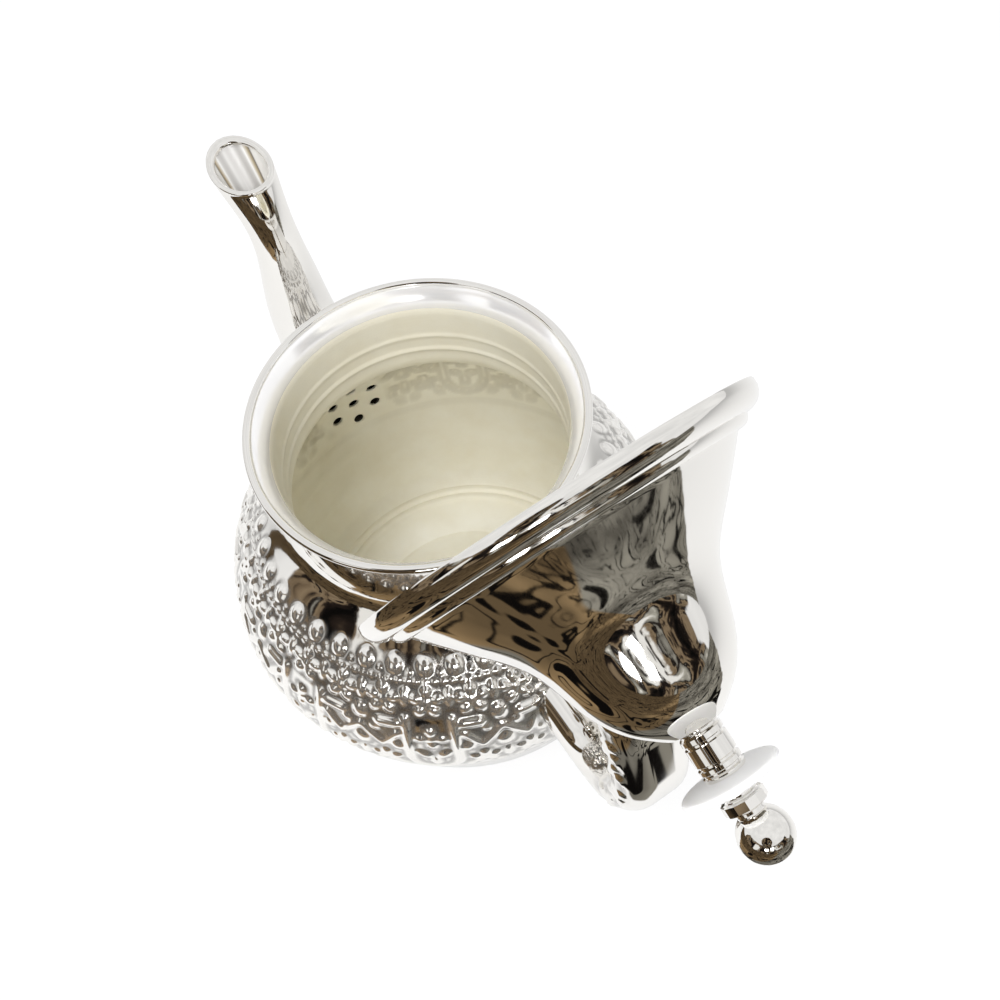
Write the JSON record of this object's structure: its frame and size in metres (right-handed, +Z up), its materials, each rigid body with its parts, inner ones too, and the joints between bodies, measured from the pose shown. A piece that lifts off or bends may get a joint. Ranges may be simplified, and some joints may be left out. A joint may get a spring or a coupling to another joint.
{
  "type": "teapot",
  "caption": "Bulb-shaped metal teapot with a curved tube spout, flared mouth, drilled strainer, ear handle and a hinged bell lid with a turned finial.",
  "frame": {"origin": "centre of the flat base, on the surface it stands on", "axes": "+Z up along the body's axis, +X towards the spout, hinge axis along Y on the -X side"},
  "size_m": [0.2477, 0.1302, 0.2095],
  "materials": {
    "silver_plate": "mirror-polished silver plate on brass, satin inside",
    "steel": "plain machined",
    "white_plastic": "smooth white, slightly glossy"
  },
  "bodies": {
    "pot": {"body_shell": "silver_plate", "base_dish": "silver_plate", "mouth_rim": "silver_plate", "spout": "silver_plate", "handle": "silver_plate", "hinge_leaf_body": "silver_plate", "hinge_pin": "silver_plate"},
    "lid": {"lid_shell": "silver_plate", "hinge_leaf_lid": "silver_plate", "finial_stud": "steel", "finial_washer": "steel", "finial_nut": "steel", "finial_sleeve": "silver_plate", "insulator_disc": "white_plastic", "finial_ring": "silver_plate", "finial_ball": "silver_plate"}
  },
  "joints": [
    {"name": "lid_hinge", "type": "hinge", "parent": "pot", "child": "lid", "pos_m": [-0.0466, 0, 0.12669], "axis": [0, 1, 0], "range_deg": [0, 113.8]}
  ]
}
